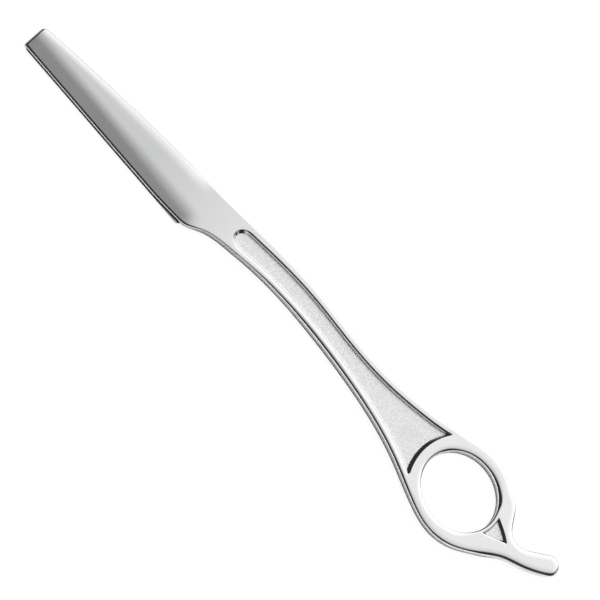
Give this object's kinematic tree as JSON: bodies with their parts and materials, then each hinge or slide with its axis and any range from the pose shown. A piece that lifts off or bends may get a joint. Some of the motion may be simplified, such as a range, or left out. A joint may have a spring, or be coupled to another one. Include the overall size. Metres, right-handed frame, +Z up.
{
  "type": "finger-ring razor",
  "caption": "One-piece steel razor with finger ring and curved tang, holding a narrow slide-in blade under the lip of its tapered head.",
  "frame": {"origin": "middle of the overall box at the flat underside that it lies on", "axes": "+Z up out of the flat face, +X along the razor from the blade end towards the finger ring, +Y towards the spine"},
  "size_m": [0.2094, 0.0324, 0.0027],
  "materials": {
    "polished_steel": "polished, with finely blasted recesses",
    "blade_steel": "ground",
    "plate_steel": "satin",
    "pin_steel": "satin",
    "spring_steel": "dull"
  },
  "bodies": {
    "holder": {"frame": "polished_steel", "back_plate": "plate_steel", "leaf_spring": "spring_steel", "rivet_heel": "pin_steel", "rivet_middle": "pin_steel", "rivet_tip": "pin_steel", "spring_pin": "pin_steel", "stop_pin": "pin_steel"},
    "blade": {"blade": "blade_steel"}
  },
  "joints": [
    {"name": "blade_slide", "type": "slide", "parent": "holder", "child": "blade", "axis": [-0.9969, 0.0785, 0], "range_m": [0, 0.067]}
  ]
}
